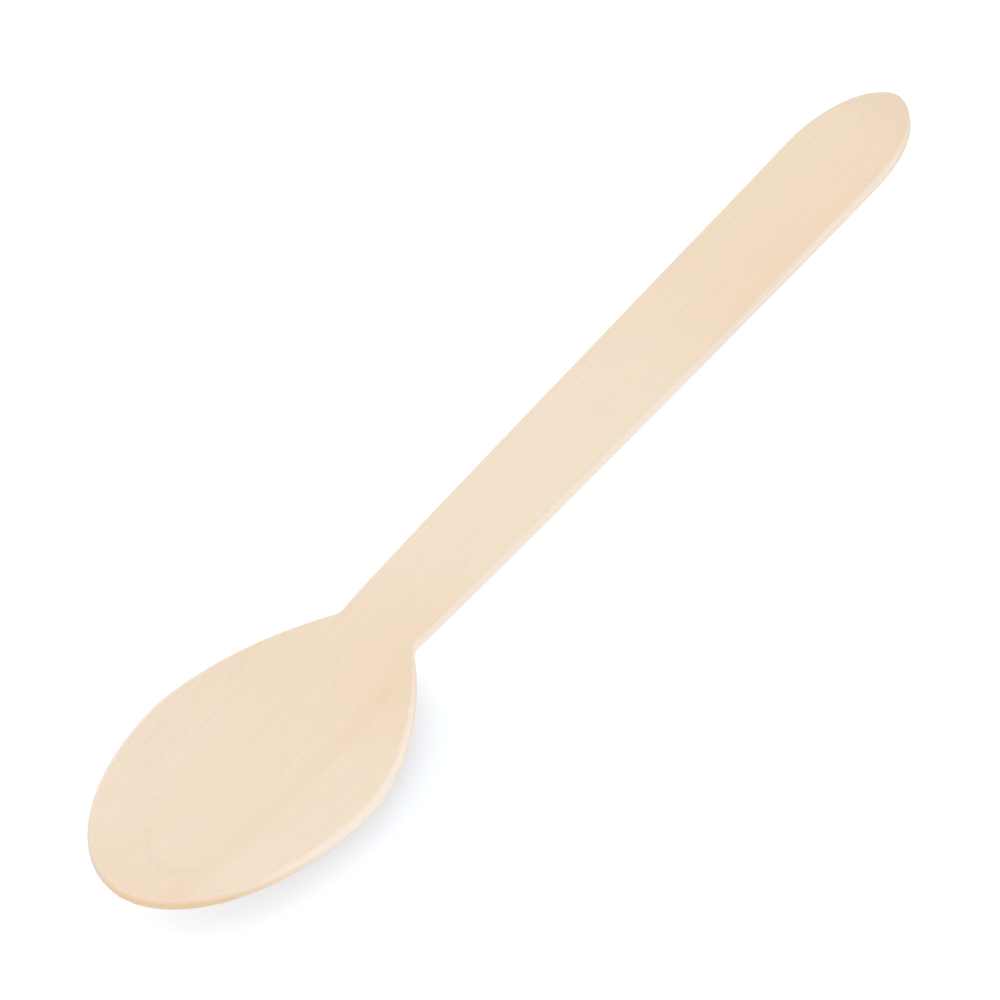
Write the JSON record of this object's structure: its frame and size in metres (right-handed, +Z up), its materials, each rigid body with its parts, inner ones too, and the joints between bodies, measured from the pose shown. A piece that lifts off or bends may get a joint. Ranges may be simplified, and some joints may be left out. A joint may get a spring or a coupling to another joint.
{
  "type": "disposable wooden spoon",
  "caption": "Disposable spoon pressed from one thin sheet of birch: shallow egg-shaped bowl, flat slightly widening handle and a rounded, lightly dished tail.",
  "frame": {"origin": "centre of the bounding box at the surface that the spoon lies on", "axes": "+X along the spoon from the bowl towards the tail, +Y across it, +Z up out of the bowl's open side"},
  "size_m": [0.16, 0.0288, 0.0056],
  "materials": {
    "birch": "matt, unvarnished, fine pale grain along the spoon"
  },
  "bodies": {
    "root": {"spoon": "birch"}
  },
  "joints": []
}
